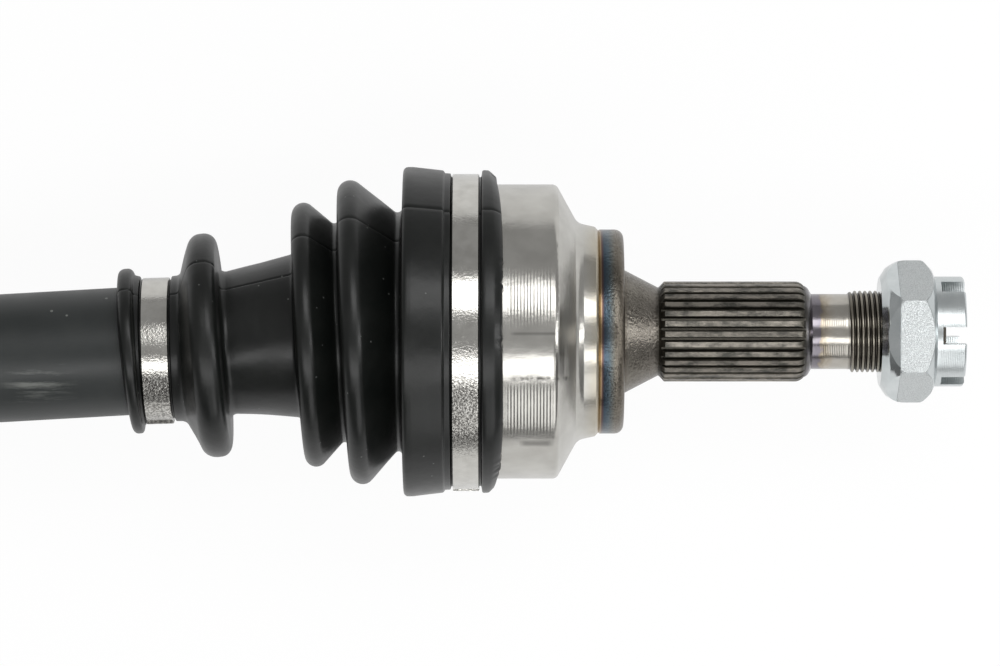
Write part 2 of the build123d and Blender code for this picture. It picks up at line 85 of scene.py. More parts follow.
OUTER_FRAME = local_frame(OUTER_CENTRE, STUB_DIRECTION)
SHAFT_FRAME = local_frame(OUTER_CENTRE, SHAFT_DIRECTION)
INNER_FRAME = local_frame(INNER_CENTRE, SHAFT_DIRECTION)


# Mesh helpers

def smoothstep(low, high, value):
    """0 before low, 1 after high, smooth between."""
    share = min(max((value - low) / (high - low), 0.0), 1.0)
    return share * share * (3 - 2 * share)


def rounded(corners, step=0.35):
    """Points along a line of (s, r, fillet radius) corners, with an arc at each corner."""
    points = []
    count = len(corners)
    for number, (s, r, fillet) in enumerate(corners):
        here = Vector((s, r))
        if number in (0, count - 1) or fillet <= 0:
            points.append(here)
            continue
        before = Vector(corners[number - 1][:2]) - here
        after = Vector(corners[number + 1][:2]) - here
        half = before.angle(after) / 2
        reach = min(fillet / math.tan(half), 0.49 * before.length, 0.49 * after.length)
        radius = reach * math.tan(half)
        middle = here + (before.normalized() + after.normalized()).normalized() * radius / math.sin(half)
        start = here + before.normalized() * reach - middle
        sweep = start.angle_signed(here + after.normalized() * reach - middle)
        pieces = max(2, round(abs(sweep) * radius / step))
        for piece in range(pieces + 1):
            turn = Matrix.Rotation(-sweep * piece / pieces, 2)
            points.append(middle + turn @ start)
    return spaced(points, 2.5 * step)


def spaced(points, longest):
    """The same line with more points on its long stretches."""
    line = [points[0]]
    for point in points[1:]:
        gap = (point - line[-1]).length
        if gap < 1e-6:
            continue
        start = line[-1].copy()
        pieces = max(1, math.ceil(gap / longest))
        for piece in range(1, pieces + 1):
            line.append(start.lerp(point, piece / pieces))
    return line


def mesh_object(name, vertices, faces, smooth=True):
    """New object with this mesh."""
    mesh = bpy.data.meshes.new(name)
    mesh.from_pydata([tuple(v) for v in vertices], [], faces)
    mesh.validate()
    mesh.update()
    obj = bpy.data.objects.new(name, mesh)
    bpy.context.scene.collection.objects.link(obj)
    if smooth:
        mesh.polygons.foreach_set("use_smooth", [True] * len(mesh.polygons))
    return obj


def turned_surface(name, line, place, angles, closed=True):
    """Surface of rings round an axis: line lists (s, r) in millimetres, place(s, r, angle) gives a point."""
    vertices = [place(s, r, angle) for s, r in line for angle in angles]
    columns = len(angles)
    rows = len(line)
    faces = []
    for row in range(rows if closed else rows - 1):
        following = (row + 1) % rows
        for column in range(columns):
            right = (column + 1) % columns
            faces.append(
                (
                    row * columns + column,
                    row * columns + right,
                    following * columns + right,
                    following * columns + column,
                )
            )
    return mesh_object(name, vertices, faces)


def even_angles(count):
    """Evenly spaced angles round a full turn."""
    return [2 * math.pi * number / count for number in range(count)]


# Material helpers

class Shader:
    """Builds one procedural material on a Principled shader. Lengths in its patterns are in millimetres."""

    def __init__(self, name):
        self.material = bpy.data.materials.new(name)
        self.material.use_nodes = True
        self.tree = self.material.node_tree
        self.tree.nodes.clear()
        self.output = self.tree.nodes.new("ShaderNodeOutputMaterial")
        self.bsdf = self.tree.nodes.new("ShaderNodeBsdfPrincipled")
        self.tree.links.new(self.bsdf.outputs[0], self.output.inputs["Surface"])
        where = self.tree.nodes.new("ShaderNodeTexCoord")
        self.position = self.vector("MULTIPLY", where.outputs["Object"], (1000, 1000, 1000))
        self.bumps = None

    def node(self, kind, **settings):
        node = self.tree.nodes.new(kind)
        for key, value in settings.items():
            setattr(node, key, value)
        return node

    def join(self, source, socket):
        """Links a socket, or sets a plain value."""
        if isinstance(source, bpy.types.NodeSocket):
            self.tree.links.new(source, socket)
        else:
            socket.default_value = source

    def set(self, **values):
        """Sets the shader's own sockets: base_color=..., roughness=..."""
        for key, value in values.items():
            name = key.replace("_", " ").title().replace("Ior", "IOR")
            self.join(value, self.bsdf.inputs[name])

    def vector(self, operation, a, b):
        node = self.node("ShaderNodeVectorMath", operation=operation)
        self.join(a, node.inputs[0])
        self.join(b, node.inputs[1])
        return node.outputs[0]

    def math(self, operation, a, b=0.0, clamp=False):
        node = self.node("ShaderNodeMath", operation=operation, use_clamp=clamp)
        self.join(a, node.inputs[0])
        self.join(b, node.inputs[1])
        return node.outputs[0]

    def axis(self, letter, vector=None):
        """One coordinate of the position, in millimetres."""
        node = self.node("ShaderNodeSeparateXYZ")
        self.join(vector or self.position, node.inputs[0])
        return node.outputs[letter]

    def along(self, origin, direction):
        """Distance along a direction from a point of the frame, in millimetres."""
        shifted = self.vector("SUBTRACT", self.position, tuple(1000 * c for c in origin))
        node = self.node("ShaderNodeVectorMath", operation="DOT_PRODUCT")
        self.join(shifted, node.inputs[0])
        node.inputs[1].default_value = tuple(direction)
        return node.outputs["Value"]

    def radius(self):
        """Distance from the X axis of the frame, in millimetres."""
        y, z = self.axis("Y"), self.axis("Z")
        square = self.math("ADD", self.math("MULTIPLY", y, y), self.math("MULTIPLY", z, z))
        return self.math("SQRT", square)

    def forged_flats(self):
        """1 on the nut's six recessed flats, 0 on its edges, corners and ends."""
        turned = self.node("ShaderNodeVectorRotate", rotation_type="X_AXIS")
        self.join(self.position, turned.inputs["Vector"])
        turned.inputs["Angle"].default_value = -NUT_TURN
        z, y = self.axis("Z", turned.outputs[0]), self.axis("Y", turned.outputs[0])
        sixth = math.pi / 3
        angle = self.math("ARCTAN2", y, z)
        nearest = self.math("MULTIPLY", self.math("ROUND", self.math("DIVIDE", angle, sixth)), sixth)
        away = self.math("SUBTRACT", angle, nearest)
        radius = self.radius()
        out = self.math("MULTIPLY", radius, self.math("COSINE", away))
        aside = self.math("ABSOLUTE", self.math("MULTIPLY", radius, self.math("SINE", away)))
        on_flat = self.math("MULTIPLY", self.span(out, 18.3, 18.2), self.span(out, 17.9, 18.0))
        return self.math("MULTIPLY", on_flat, self.span(aside, 10.7, 10.4))

    def noise(self, size, detail=3.0, stretch=(1, 1, 1), roughness=0.55, offset=0.0):
        """Noise whose lumps are about size millimetres."""
        scaled = self.vector("MULTIPLY", self.position, stretch)
        scaled = self.vector("ADD", scaled, (offset, offset, offset))
        node = self.node("ShaderNodeTexNoise")
        self.join(scaled, node.inputs["Vector"])
        node.inputs["Scale"].default_value = 1 / size
        node.inputs["Detail"].default_value = detail
        node.inputs["Roughness"].default_value = roughness
        return node.outputs["Fac"]

    def cells(self, size, feature="F1", offset=0.0):
        """Distance to the nearest of scattered points about size millimetres apart, in sizes."""
        shifted = self.vector("ADD", self.position, (offset, offset, offset))
        node = self.node("ShaderNodeTexVoronoi", feature=feature)
        self.join(shifted, node.inputs["Vector"])
        node.inputs["Scale"].default_value = 1 / size
        return node.outputs["Distance"]

    def ramp(self, value, stops, smooth=False):
        """Colour or number by value. stops are (position, colour or number)."""
        node = self.node("ShaderNodeValToRGB")
        node.color_ramp.interpolation = "EASE" if smooth else "LINEAR"
        elements = node.color_ramp.elements
        while len(elements) < len(stops):
            elements.new(0.5)
        for element, (position, colour) in zip(elements, stops):
            element.position = position
            if not isinstance(colour, tuple):
                colour = (colour, colour, colour)
            element.color = (*colour, 1.0)
        self.join(value, node.inputs["Fac"])
        return node.outputs["Color"]

    def window(self, value, low, high, soft=0.3):
        """1 where value lies between low and high, fading over soft."""
        rise = self.span(value, low - soft, low + soft)
        fall = self.span(value, high - soft, high + soft)
        return self.math("SUBTRACT", rise, fall, clamp=True)

    def span(self, value, low, high, to_low=0.0, to_high=1.0):
        node = self.node("ShaderNodeMapRange")
        self.join(value, node.inputs["Value"])
        for name, number in (("From Min", low), ("From Max", high), ("To Min", to_low), ("To Max", to_high)):
            node.inputs[name].default_value = number
        return node.outputs["Result"]

    def mix(self, share, a, b, blend="MIX"):
        node = self.node("ShaderNodeMix", data_type="RGBA", blend_type=blend)
        self.join(share, node.inputs["Factor"])
        a_socket = [s for s in node.inputs if s.name == "A" and s.type == "RGBA"][0]
        b_socket = [s for s in node.inputs if s.name == "B" and s.type == "RGBA"][0]
        for socket, colour in ((a_socket, a), (b_socket, b)):
            if isinstance(colour, tuple):
                colour = (*colour[:3], 1.0)
            self.join(colour, socket)
        return [s for s in node.outputs if s.type == "RGBA"][0]

    def bump(self, height, distance, strength=1.0):
        """Adds a bump of so many millimetres."""
        node = self.node("ShaderNodeBump")
        self.join(height, node.inputs["Height"])
        node.inputs["Distance"].default_value = distance * MM
        node.inputs["Strength"].default_value = strength
        if self.bumps is not None:
            self.tree.links.new(self.bumps, node.inputs["Normal"])
        self.bumps = node.outputs["Normal"]
        self.tree.links.new(self.bumps, self.bsdf.inputs["Normal"])


# Materials

def boot_rubber():
    """Moulded black rubber with dust and faint handling marks."""
    s = Shader("boot_rubber")
    cloud = s.noise(14, detail=4)
    base = s.ramp(cloud, [(0.3, (0.0034, 0.0042, 0.0038)), (0.7, (0.0062, 0.0070, 0.0062))])
    dust = s.ramp(s.cells(5.0), [(0.0, 1.0), (0.045, 1.0), (0.06, 0.0)])
    base = s.mix(s.math("MULTIPLY", dust, 0.35), base, (0.25, 0.26, 0.25))
    smear = s.ramp(s.noise(7, detail=6, stretch=(1, 0.35, 0.35), offset=12), [(0.55, 0.0), (0.75, 1.0)])
    base = s.mix(s.math("MULTIPLY", smear, 0.2), base, (0.022, 0.024, 0.022))
    s.set(base_color=base, roughness=s.span(cloud, 0.3, 0.7, 0.28, 0.38), specular_ior_level=0.36)
    s.bump(s.noise(0.5, detail=2), 0.015)
    s.bump(s.noise(6, detail=2), 0.10)
    return s.material


def black_paint():
    """Satin black-grey paint with chips and scratches along the shaft."""
    s = Shader("black_paint")
    cloud = s.noise(18, detail=4)
    base = s.ramp(cloud, [(0.3, (0.010, 0.013, 0.013)), (0.72, (0.019, 0.022, 0.021))])
    flecks = s.ramp(s.cells(7.5), [(0.0, 1.0), (0.05, 1.0), (0.065, 0.0)])
    scratch = s.noise(3.2, detail=5, stretch=(0.12, 1, 1), roughness=0.7)
    x, y = s.axis("X"), s.axis("Y")
    patch = s.math("MULTIPLY", s.window(x, -178.0, -162.0, 4.0), s.window(y, -19.0, -10.0, 3.0))
    scuffs = s.math("MULTIPLY", s.ramp(scratch, [(0.50, 0.0), (0.66, 1.0)]), patch)
    marks = s.math("MAXIMUM", s.math("MULTIPLY", flecks, 0.5), s.math("MULTIPLY", scuffs, 0.45))
    base = s.mix(marks, base, (0.26, 0.27, 0.25))
    s.set(base_color=base, roughness=s.span(cloud, 0.3, 0.7, 0.36, 0.48), specular_ior_level=0.5)
    s.bump(s.noise(0.7, detail=2), 0.015)
    return s.material


def plain_metal(name, low, high, roughness, lump=4.0, grain=0.01):
    """Metal of one finish: two tones in clouds, and a fine grain."""
    s = Shader(name)
    cloud = s.noise(lump, detail=5)
    s.set(
        base_color=s.ramp(cloud, [(0.3, low), (0.7, high)]),
        metallic=1.0,
        roughness=s.span(cloud, 0.3, 0.7, roughness * 0.85, roughness * 1.2),
    )
    s.bump(s.noise(0.35, detail=3), grain)
    return s


def clamp_steel():
    """Bright strip, a little uneven, with dark specks on its -Y side that are a painted dark reflection."""
    dull, bright = (0.46, 0.45, 0.42), (0.56, 0.55, 0.52)
    s = plain_metal("clamp_steel", dull, bright, 0.10, grain=0.006)
    y = s.axis("Y")
    lump = s.noise(0.62, detail=3, roughness=0.6)
    # Dark specks only on the -Y side: painted dark reflection.
    painted_reflection_specks = s.math("MULTIPLY", s.span(lump, 0.47, 0.53, 1.0, 0.0), s.window(y, -34.0, -12.0, 3.0))
    unspecked = s.ramp(s.noise(4, detail=5), [(0.3, dull), (0.7, bright)])
    s.set(base_color=s.mix(s.math("MULTIPLY", painted_reflection_specks, 0.75), unspecked, (0.09, 0.085, 0.08)))
    s.bump(s.math("MULTIPLY", lump, s.span(y, -3.0, 5.0, 1.0, 0.45)), 0.085)
    s.bump(s.noise(9, detail=1), 0.10)
    return s.material


def tint(s, position, stops):
    """Colour ramp whose stops are given in millimetres along the row from -64 to 96."""
    return s.ramp(position, [((at + 64) / 160, colour) for at, colour in stops])


def hub_steel():
    """Turned housing with painted dark reflections on its upper side, heat-tinted shoulder ring, pitted cone,
    oily spline with painted shade in its grooves, plain neck.
    """
    s = Shader("hub_steel")
    x = s.axis("X")
    r = s.radius()
    cloud = s.noise(9, detail=5)
    speck = s.noise(0.9, detail=4)
    position = s.span(x, -64, 96)
    steel = (0.50, 0.49, 0.46)
    wobble = s.math("MULTIPLY", s.math("SUBTRACT", s.noise(1.8, detail=4, stretch=(1, 0.5, 0.5)), 0.5), 6.0)
    wobble = s.math("MULTIPLY", wobble, s.window(x, 53.0, 62.0, 1.5))
    base = tint(
        s,
        s.span(s.math("ADD", x, wobble), -64, 96),
        [
            (-62, steel),
            (-12.0, steel),
            (-8.2, (0.46, 0.43, 0.36)),
            (-7.1, (0.37, 0.28, 0.16)),
            (-6.6, (0.10, 0.05, 0.04)),
            (-6.0, (0.045, 0.065, 0.09)),
            (-4.6, (0.08, 0.11, 0.13)),
            (-3.7, (0.12, 0.13, 0.125)),
            (-2.8, (0.17, 0.155, 0.13)),
            (0.0, (0.15, 0.13, 0.105)),
            (1.0, (0.20, 0.185, 0.16)),
            (9.4, (0.18, 0.165, 0.145)),
            (10.6, (0.085, 0.080, 0.066)),
            (52.4, (0.085, 0.080, 0.066)),
            (53.6, (0.15, 0.145, 0.15)),
            (55.2, (0.22, 0.205, 0.225)),
            (56.6, (0.20, 0.185, 0.21)),
            (57.6, (0.31, 0.265, 0.20)),
            (59.6, (0.46, 0.42, 0.36)),
            (61.5, (0.46, 0.44, 0.40)),
            (65.4, (0.44, 0.42, 0.38)),
            (66.4, (0.10, 0.09, 0.075)),
            (90.0, (0.10, 0.09, 0.075)),
        ],
    )
    base = s.mix(s.span(cloud, 0.35, 0.7, 0.0, 0.25), base, (0.30, 0.29, 0.27), "MULTIPLY")
    rough_zone = s.window(x, -5.4, 10.2, 1.0)
    patchy = s.ramp(s.noise(5, detail=3, offset=7), [(0.40, 0.0), (0.58, 1.0)])
    pits = s.math("MULTIPLY", s.ramp(s.noise(0.55, detail=4, offset=3), [(0.50, 0.0), (0.60, 1.0)]), patchy)
    base = s.mix(s.math("MULTIPLY", s.math("MULTIPLY", rough_zone, pits), 0.7), base, (0.045, 0.038, 0.03))
    spline_zone = s.window(x, 10.4, 53.0, 0.6)
    land = s.span(r, 14.1, 14.6)
    oil = s.ramp(s.noise(3.5, detail=6, stretch=(0.5, 1, 1), roughness=0.7), [(0.40, 0.0), (0.58, 1.0)])
    lands = s.mix(oil, (0.075, 0.073, 0.065), (0.25, 0.23, 0.20))
    base = s.mix(s.math("MULTIPLY", land, spline_zone), base, lands)
    # Spline grooves darkened by depth: painted shade.
    groove = s.span(r, 13.5, 14.1, 1.0, 0.0)
    groove = s.math("MULTIPLY", groove, spline_zone)
    base = s.mix(s.math("MULTIPLY", groove, 0.6), base, (0.032, 0.030, 0.026))
    # Dark streaks, a bar and a belt patch at fixed places on the housing's upper side are painted dark
    # reflections.
    y = s.axis("Y")
    above = s.span(s.axis("Z"), 0.0, 1.0)
    painted_reflection_breakup = s.ramp(s.noise(1.6, detail=4, stretch=(1.0, 0.6, 0.6)), [(0.34, 0.0), (0.6, 1.0)])
    painted_reflection_streak = s.math("MULTIPLY", s.window(x, -32.8, -15.8, 1.2), s.window(y, -13.9, -12.9, 0.35))
    faint = s.math("MULTIPLY", s.window(x, -32.5, -20.0, 0.8), s.window(y, -1.0, -0.3, 0.3))
    belt = s.math("MULTIPLY", s.window(x, -20.7, -17.6, 0.1), s.window(y, -13.6, -4.5, 2.0))
    bar = s.math("MULTIPLY", s.window(x, -29.7, -21.4, 1.0), s.window(y, -32.9, -31.5, 0.4))
    painted_reflections = s.math("MAXIMUM", s.math("MULTIPLY", painted_reflection_streak, painted_reflection_breakup), s.math("MULTIPLY", faint, 0.45))
    painted_reflections = s.math("MAXIMUM", painted_reflections, s.math("MULTIPLY", bar, 0.55))
    painted_reflections = s.math("MULTIPLY", s.math("MAXIMUM", painted_reflections, s.math("MULTIPLY", belt, 0.7)), above)
    base = s.mix(s.math("MULTIPLY", painted_reflections, 0.9), base, (0.055, 0.052, 0.048))
    rough = tint(
        s,
        position,
        [
            (-62, 0.24),
            (-19.6, 0.22),
            (-18.0, 0.27),
            (-9.0, 0.24),
            (-5.0, 0.24),
            (0.0, 0.30),
            (2.0, 0.26),
            (10.0, 0.28),
            (11.0, 0.36),
            (53.0, 0.36),
            (54.0, 0.20),
            (64.0, 0.22),
            (90.0, 0.28),
        ],
    )
    s.set(base_color=base, metallic=1.0, roughness=rough)
    turning = s.math("SINE", s.math("MULTIPLY", x, 2 * math.pi / 0.94))
    fine_turning = s.math("SINE", s.math("MULTIPLY", x, 2 * math.pi / 0.52))
    scored = s.math("MULTIPLY", turning, s.span(cloud, 0.3, 0.7, 0.4, 1.0))
    s.bump(s.math("MULTIPLY", scored, s.window(x, -33.7, -20.8, 0.5)), 0.024)
    s.bump(s.math("MULTIPLY", fine_turning, s.window(x, 58.0, 64.8, 0.5)), 0.02)
    s.bump(s.noise(5, detail=3, stretch=(0.6, 1, 1)), 0.09)
    s.bump(s.math("MULTIPLY", speck, rough_zone), 0.22)
    s.bump(s.math("MULTIPLY", s.noise(0.9, detail=4, roughness=0.65), spline_zone), 0.16)
    return s.material


def thread_steel():
    """Rolled thread, brownish, darker towards its roots as painted shade in its grooves."""
    s = Shader("thread_steel")
    r = s.radius()
    # Roots darker than the crests: painted shade in the thread's grooves.
    shaded_root, flank, crest = (0.02, 0.018, 0.015), (0.09, 0.08, 0.065), (0.27, 0.25, 0.21)
    base = s.ramp(s.span(r, 11.0, 11.95), [(0.0, shaded_root), (0.5, flank), (1.0, crest)])
    s.set(base_color=base, metallic=1.0, roughness=0.30)
    s.bump(s.noise(0.8, detail=4), 0.02)
    return s.material


def zinc_plate():
    """Bright zinc: grainy forged flats, a polished face towards the joint, and fine turning on the crown."""
    s = Shader("zinc_plate")
    grain = s.noise(0.24, detail=2)
    cloud = s.noise(6, detail=4)
    base = s.ramp(cloud, [(0.3, (0.50, 0.535, 0.54)), (0.7, (0.60, 0.63, 0.635))])
    x = s.axis("X")
    flats = s.math("MULTIPLY", s.window(x, 80.2, 91.2, 0.1), s.forged_flats())
    base = s.mix(flats, base, s.ramp(grain, [(0.38, (0.42, 0.44, 0.445)), (0.62, (0.64, 0.67, 0.67))]))
    sides = s.span(flats, 0.0, 1.0, 0.30, 0.36)
    polish = s.span(x, 80.1, 79.9, 0.0, 0.18)
    s.set(base_color=base, metallic=1.0, roughness=s.math("SUBTRACT", sides, polish))
    s.bump(s.math("MULTIPLY", grain, flats), 0.16)
    turning = s.math("SINE", s.math("MULTIPLY", x, 12.0))
    s.bump(s.math("MULTIPLY", turning, s.window(x, 91.8, 99.0, 0.3)), 0.012)
    return s.material


def tulip_steel():
    """Forged housing with scale, machined boot seat, ground seal land and gearbox spline."""
    s = Shader("tulip_steel")
    x = s.along(INNER_CENTRE, SHAFT_DIRECTION)
    cloud = s.noise(8, detail=6)
    forged = s.ramp(cloud, [(0.3, (0.075, 0.070, 0.064)), (0.7, (0.135, 0.125, 0.115))])
    bare = s.ramp(cloud, [(0.3, (0.42, 0.41, 0.385)), (0.7, (0.52, 0.51, 0.48))])
    machined = s.math("MAXIMUM", s.window(x, 4.0, 40.0, 0.15), s.window(x, -78.0, -58.6, 0.15))
    machined = s.math("MAXIMUM", machined, s.window(x, -120.0, -77.5, 0.3))
    s.set(
        base_color=s.mix(machined, forged, bare),
        metallic=1.0,
        roughness=s.span(machined, 0.0, 1.0, 0.48, 0.24),
    )
    rough = s.math("SUBTRACT", 1.0, machined)
    s.bump(s.math("MULTIPLY", s.noise(1.1, detail=5), rough), 0.22)
    s.bump(s.math("MULTIPLY", s.math("SINE", s.math("MULTIPLY", x, 9.0)), machined), 0.008)
    return s.material


def floor_material():
    """Pale floor that keeps the object's shadow and shows white."""
    material = bpy.data.materials.new("pale_floor")
    material.use_nodes = True
    tree = material.node_tree
    tree.nodes.clear()
    output = tree.nodes.new("ShaderNodeOutputMaterial")
    diffuse = tree.nodes.new("ShaderNodeBsdfDiffuse")
    diffuse.inputs["Color"].default_value = (0.93, 0.93, 0.93, 1)
    white = tree.nodes.new("ShaderNodeEmission")
    white.inputs["Color"].default_value = (1, 1, 1, 1)
    path = tree.nodes.new("ShaderNodeLightPath")
    seen = tree.nodes.new("ShaderNodeMath")
    seen.operation = "MAXIMUM"
    camera_share = tree.nodes.new("ShaderNodeMath")
    camera_share.operation = "MULTIPLY"
    camera_share.inputs[1].default_value = 0.94
    mirror_share = tree.nodes.new("ShaderNodeMath")
    mirror_share.operation = "MULTIPLY"
    mirror_share.inputs[1].default_value = 0.45
    mix = tree.nodes.new("ShaderNodeMixShader")
    links = tree.links
    links.new(path.outputs["Is Camera Ray"], camera_share.inputs[0])
    links.new(path.outputs["Is Glossy Ray"], mirror_share.inputs[0])
    links.new(camera_share.outputs[0], seen.inputs[0])
    links.new(mirror_share.outputs[0], seen.inputs[1])
    links.new(seen.outputs[0], mix.inputs["Fac"])
    links.new(diffuse.outputs[0], mix.inputs[1])
    links.new(white.outputs[0], mix.inputs[2])
    links.new(mix.outputs[0], output.inputs["Surface"])
    return material


def dress(names, material):
    """Gives CAD nodes a material."""
    for name in names:
        obj = NODES[name]
        if not obj.material_slots:
            obj.data.materials.append(material)
        for material_slot in obj.material_slots:
            material_slot.material = material


# Boots

BOOT_WALL = 2.3
BOOT_START, BOOT_END = 22.0, 92.0
PARTING_ANGLE = math.radians(48)
PARTING_DEPTH = 0.3
PARTING_HALF_WIDTH = math.radians(0.45)


def parting_gap(angle):
    """Angle to the nearer of the two parting lines."""
    return abs((angle - PARTING_ANGLE + math.pi / 2) % math.pi - math.pi / 2)


def boot_angles(count=360):
    """Angles round a boot, with a narrow pair of columns at each parting line."""
    angles = []
    for line in (PARTING_ANGLE, PARTING_ANGLE + math.pi):
        angles += [line + share * PARTING_HALF_WIDTH for share in (-2, -1, 0, 1, 2)]
    angles += [angle for angle in even_angles(count) if parting_gap(angle) > 3 * PARTING_HALF_WIDTH]
    return sorted(angle % (2 * math.pi) for angle in angles)


def parting_groove(angle):
    """How far a boot's surface sinks at its parting lines, in millimetres."""
    return PARTING_DEPTH * max(0.0, 1 - parting_gap(angle) / (1.5 * PARTING_HALF_WIDTH))


def waver(angle, s):
    """Small unevenness of moulded rubber, in millimetres."""
    slow = math.sin(2 * angle + 0.11 * s) + 0.6 * math.sin(3 * angle - 0.07 * s + 1.0)
    return 0.12 * slow + 0.05 * math.sin(7 * angle + 0.23 * s)


def ragged(angle):
    """Worn edge of a lip, in millimetres: slow waves, and small nicks in places."""
    slow = math.sin(3 * angle + 0.7) + 0.7 * math.sin(7 * angle + 1.9)
    nicks = math.sin(61 * angle + 0.4) + math.sin(97 * angle + 2.1) + math.sin(131 * angle + 5.0)
    patches = max(0.0, math.sin(5 * angle + 0.4) + math.sin(13 * angle + 2.8))
    return 0.07 * slow + 0.09 * nicks * patches


def inside_line(line, wall):
    """The line moved inwards by the wall, for the boot's inner face."""
    moved = []
    for number, point in enumerate(line):
        before = line[max(number - 1, 0)]
        after = line[min(number + 1, len(line) - 1)]
        along = (after - before).normalized()
        normal = Vector((along.y, -along.x))
        moved.append(point + normal * wall)
    return moved


def between(table, s):
    """Smooth value at s from a table of (s, value)."""
    if s <= table[0][0]:
        return table[0][1]
    for (low, first), (high, second) in zip(table, table[1:]):
        if s <= high:
            return first + (second - first) * smoothstep(low, high, s)
    return table[-1][1]


OUTER_TILT = [
    (21, 0.0), (36, 2.5), (50, 3.15), (62, 3.2), (72, 4.2), (79, 5.1),
    (84, 4.2), (89, 1.8), (98, 1.8), (101, 4.6), (105, 5.6),
]


# How much further the cuff's lip reaches over the housing on its upper side, in millimetres.
LIP_REACH = 2.4


def outer_boot_place(s, r, angle):
    """Point of the outer boot. Angle 0 points up and turns towards +Y; r below 0 marks the inner face."""
    size = abs(r)
    shift = 0.0
    if r > 0:
        size += waver(angle, s) * smoothstep(8, 26, s) - parting_groove(angle)
        shift = ragged(angle) * smoothstep(-2.6, -3.8, s) if s < -2.6 else 0.0
    shift -= LIP_REACH * smoothstep(0.0, 0.85, math.cos(angle)) * (1 - smoothstep(-4.0, -0.8, s))
    lean = BEND * smoothstep(BOOT_START, BOOT_END, s)
    tilt = math.radians(between(OUTER_TILT, s))
    across = size * math.sin(angle)
    along = -(s + shift)
    point = Vector(
        (
            along * math.cos(lean) - across * math.sin(tilt),
            along * math.sin(lean) + across * math.cos(tilt),
            size * math.cos(angle),
        )
    )
    return OUTER_FRAME @ (point * MM)


def inner_boot_place(s, r, angle):
    """Point of the inner boot, straight on the shaft."""
    size = abs(r)
    if r > 0:
        size += waver(angle, s + 40) * smoothstep(22, 38, s) - parting_groove(angle)
    return INNER_FRAME @ (Vector((s, size * math.sin(angle), size * math.cos(angle))) * MM)


OUTER_BOOT_LINE = [
    (-4.3, 43.5, 0.4),
    (-4.2, 45.6, 1.4),
    (-2.6, 47.2, 1.0),
    (-0.7, 47.3, 0.5),
    (-0.4, 45.25, 0.2),
    (8.3, 45.25, 0.2),
    (8.6, 46.3, 0.2),
    (10.2, 46.4, 0.3),
    (10.7, 47.2, 0.6),
    (19.6, 48.3, 5.0),
    (22.3, 48.3, 2.3),
    (22.8, 33.5, 1.3),
    (39.7, 49.1, 3.7),
    (40.0, 30.4, 1.2),
    (53.0, 43.0, 3.3),
    (53.3, 24.0, 1.6),
    (63.0, 22.4, 20.0),
    (74.6, 20.8, 1.8),
    (75.2, 32.9, 3.4),
    (82.4, 32.9, 4.4),
    (87.0, 21.4, 3.0),
    (89.7, 21.2, 0.2),
    (89.9, 20.2, 0.2),
    (98.7, 20.2, 0.2),
    (98.8, 21.6, 0.3),
    (99.8, 22.0, 0.6),
    (100.4, 24.1, 1.2),
    (103.6, 24.1, 1.8),
    (104.4, 19.2, 0.4),
]
INNER_BOOT_LINE = [
    (7.5, 43.6, 0.3),
    (7.6, 46.0, 1.0),
    (9.2, 47.6, 0.8),
    (12.7, 47.7, 0.4),
    (12.9, 45.35, 0.2),
    (21.5, 45.35, 0.2),
    (21.7, 46.6, 0.2),
    (23.2, 47.3, 0.5),
    (33.6, 48.0, 1.8),
    (34.8, 35.4, 1.5),
    (43.3, 48.4, 2.4),
    (47.6, 32.6, 1.4),
    (53.5, 43.6, 2.2),
    (57.6, 31.5, 1.3),
    (63.5, 39.6, 2.1),
    (67.6, 24.9, 1.3),
    (73.0, 34.0, 2.4),
    (79.4, 21.5, 2.4),
    (90.3, 21.2, 0.2),
    (90.5, 20.2, 0.2),
    (99.3, 20.2, 0.2),
    (99.4, 22.0, 0.4),
    (100.4, 24.0, 1.0),
    (103.8, 24.0, 1.6),
    (104.5, 19.2, 0.4),
]


def closed_boot_line(corners, cuff_seat, cuff_seat_end, collar_seat, collar_seat_start):
    """Outer line, then the inner line back with its radii negative as a mark."""
    outer = rounded(corners)
    back = []
    for s, r in reversed(inside_line(outer, BOOT_WALL)):
        if s < cuff_seat_end:
            r = cuff_seat
        if s > collar_seat_start:
            r = collar_seat
        back.append((min(max(s, corners[0][0]), corners[-1][0]), -r))
    return [tuple(point) for point in outer] + back


rubber = boot_rubber()


def dress_boot(boot, node):
    boot.data.materials.append(rubber)
    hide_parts(node)


outer_line = closed_boot_line(OUTER_BOOT_LINE, 43.35, 20.4, 19.05, 86.0)
outer_boot = turned_surface("boot_outer", outer_line, outer_boot_place, boot_angles())
dress_boot(outer_boot, "outer_boot")
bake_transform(outer_boot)

# Where the inner boot is cut into two stretches, in millimetres from the joint's centre.
INNER_BOOT_SPLIT = 57.6


def inner_boot_half(name, low, high):
    """The stretch of the inner boot between two distances, with the open faces where it is cut."""
    corners = [corner for corner in INNER_BOOT_LINE if low - 0.01 <= corner[0] <= high + 0.01]
    line = closed_boot_line(corners, 43.45, 32.4, 19.05, 87.0)
    return turned_surface(name, line, inner_boot_place, boot_angles(180))


cuff_half = inner_boot_half("boot_inner_cuff", 0, INNER_BOOT_SPLIT)
dress_boot(cuff_half, "inner_boot")
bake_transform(cuff_half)
collar_half = inner_boot_half("boot_inner_collar", INNER_BOOT_SPLIT, 200)
dress_boot(collar_half, "inner_boot")
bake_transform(collar_half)


# Clamps

BAND_THICKNESS = 0.8
EAR_TURN = math.radians(35)
EAR_LINE = [
    (-6.4, 0.1), (-4.4, 0.35), (-2.7, 0.8), (-1.95, 1.6), (-2.3, 2.5),
    (-3.3, 3.1), (-3.7, 3.7), (-3.0, 4.15), (-1.2, 4.2),
    (1.2, 4.2), (3.0, 4.15), (3.7, 3.7), (3.3, 3.1),
    (2.3, 2.5), (1.95, 1.6), (2.7, 0.8), (4.4, 0.35), (6.4, 0.1),
]


